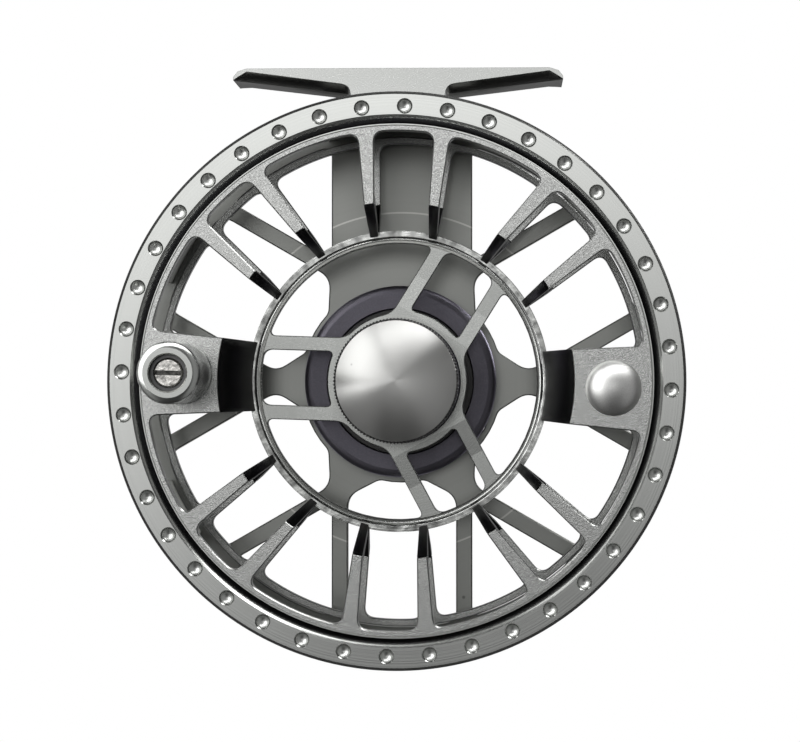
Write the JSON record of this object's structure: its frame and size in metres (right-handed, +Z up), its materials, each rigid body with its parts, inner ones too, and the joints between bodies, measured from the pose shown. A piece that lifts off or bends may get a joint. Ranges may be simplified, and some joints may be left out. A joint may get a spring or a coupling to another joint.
{
  "type": "fly reel",
  "caption": "Large-arbor fly reel with a ported spool, palming rim, handle and counterweight, on a cage frame with a rod foot and a disc drag.",
  "frame": {"origin": "middle of the flat top of the reel foot, where it meets the rod", "axes": "+Z up out of the foot towards the rod, +X along the foot, -Y out of the handle side; the spindle lies along Y"},
  "size_m": [0.1, 0.0633, 0.1052],
  "materials": {
    "spool_aluminium": "bead-blasted and satin anodised grey, bright machined edges",
    "arbor_aluminium": "as turned, mottled bright grey",
    "frame_aluminium": "satin anodised grey-green with turning marks",
    "cap_steel": "circular brushed",
    "polished_steel": "bright turned",
    "bronze": "turned",
    "dark_anodised": "matt dark purple-grey anodised",
    "carbon_friction": "woven carbon friction disc",
    "rubber_seal": "matt rubber"
  },
  "bodies": {
    "frame": {"frame_back_plate": "frame_aluminium", "frame_front_ring": "frame_aluminium", "frame_top_bridge": "frame_aluminium", "frame_pillar_1": "frame_aluminium", "frame_pillar_2": "frame_aluminium", "frame_pillar_3": "frame_aluminium", "frame_pillar_4": "frame_aluminium", "frame_pillar_5": "frame_aluminium", "reel_foot": "frame_aluminium", "foot_screw_1": "polished_steel", "foot_screw_2": "polished_steel", "spindle": "polished_steel", "spindle_nut": "polished_steel", "drag_housing": "dark_anodised", "drag_seal_ring": "rubber_seal", "drag_steel_disc": "polished_steel", "drag_knob_screw": "polished_steel", "housing_screw_1": "polished_steel", "housing_screw_2": "polished_steel", "housing_screw_3": "polished_steel"},
    "drive": {"drive_hub": "dark_anodised", "one_way_clutch": "polished_steel", "drag_carbon_disc": "carbon_friction", "drive_pin_1": "polished_steel", "drive_pin_2": "polished_steel", "drive_pin_3": "polished_steel"},
    "pressure": {"pressure_plate": "polished_steel", "spring_washer": "polished_steel", "push_pin_1": "polished_steel", "push_pin_2": "polished_steel", "push_pin_3": "polished_steel"},
    "drag_knob": {"drag_knob": "dark_anodised"},
    "carrier": {"bearing_1_inner": "polished_steel", "bearing_2_inner": "polished_steel"},
    "spool": {"spool_front_flange": "spool_aluminium", "spool_rear_flange": "spool_aluminium", "spool_arbor_ring": "arbor_aluminium", "spool_hub_spider": "spool_aluminium", "spool_hub_barrel": "spool_aluminium", "counterweight": "polished_steel", "bearing_1_outer": "polished_steel", "bearing_2_outer": "polished_steel", "bearing_1_shield": "dark_anodised", "bearing_2_shield": "dark_anodised", "handle_post": "polished_steel", "handle_collar": "spool_aluminium", "handle_screw": "polished_steel"},
    "handle": {"handle_knob": "spool_aluminium", "handle_bush": "bronze"},
    "cap_seat": {"cap_washer": "rubber_seal"},
    "cap": {"release_cap": "cap_steel", "cap_insert": "bronze"}
  },
  "joints": [
    {"name": "spool_pull", "type": "slide", "parent": "frame", "child": "carrier", "axis": [0, -1, 0], "range_m": [0, 0.045]},
    {"name": "spool_spin", "type": "hinge", "parent": "carrier", "child": "spool", "pos_m": [0, 0, -0.0552], "axis": [0, -1, 0], "continuous": true},
    {"name": "handle_spin", "type": "hinge", "parent": "spool", "child": "handle", "pos_m": [-0.03688, 0, -0.05398], "axis": [0, -1, 0], "continuous": true},
    {"name": "cap_rise", "type": "slide", "parent": "spool", "child": "cap_seat", "axis": [0, -1, 0], "range_m": [0, 0.0031]},
    {"name": "cap_turn", "type": "hinge", "parent": "cap_seat", "child": "cap", "pos_m": [0, 0, -0.0552], "axis": [0, -1, 0], "range_deg": [0, 1080]},
    {"name": "drive_spin", "type": "hinge", "parent": "frame", "child": "drive", "pos_m": [0, 0, -0.0552], "axis": [0, -1, 0], "continuous": true},
    {"name": "drag_turn", "type": "hinge", "parent": "frame", "child": "drag_knob", "pos_m": [0, 0, -0.0552], "axis": [0, -1, 0], "range_deg": [0, 300]},
    {"name": "pressure_slide", "type": "slide", "parent": "frame", "child": "pressure", "axis": [0, -1, 0], "range_m": [0, 0.0008]}
  ],
  "couplings": [
    {"joint": "cap_rise", "follows": "cap_turn", "m_per_rad": 0.00015915},
    {"joint": "drive_spin", "follows": "spool_spin", "ratio": 1},
    {"joint": "pressure_slide", "follows": "drag_turn", "m_per_rad": 0.00015}
  ]
}
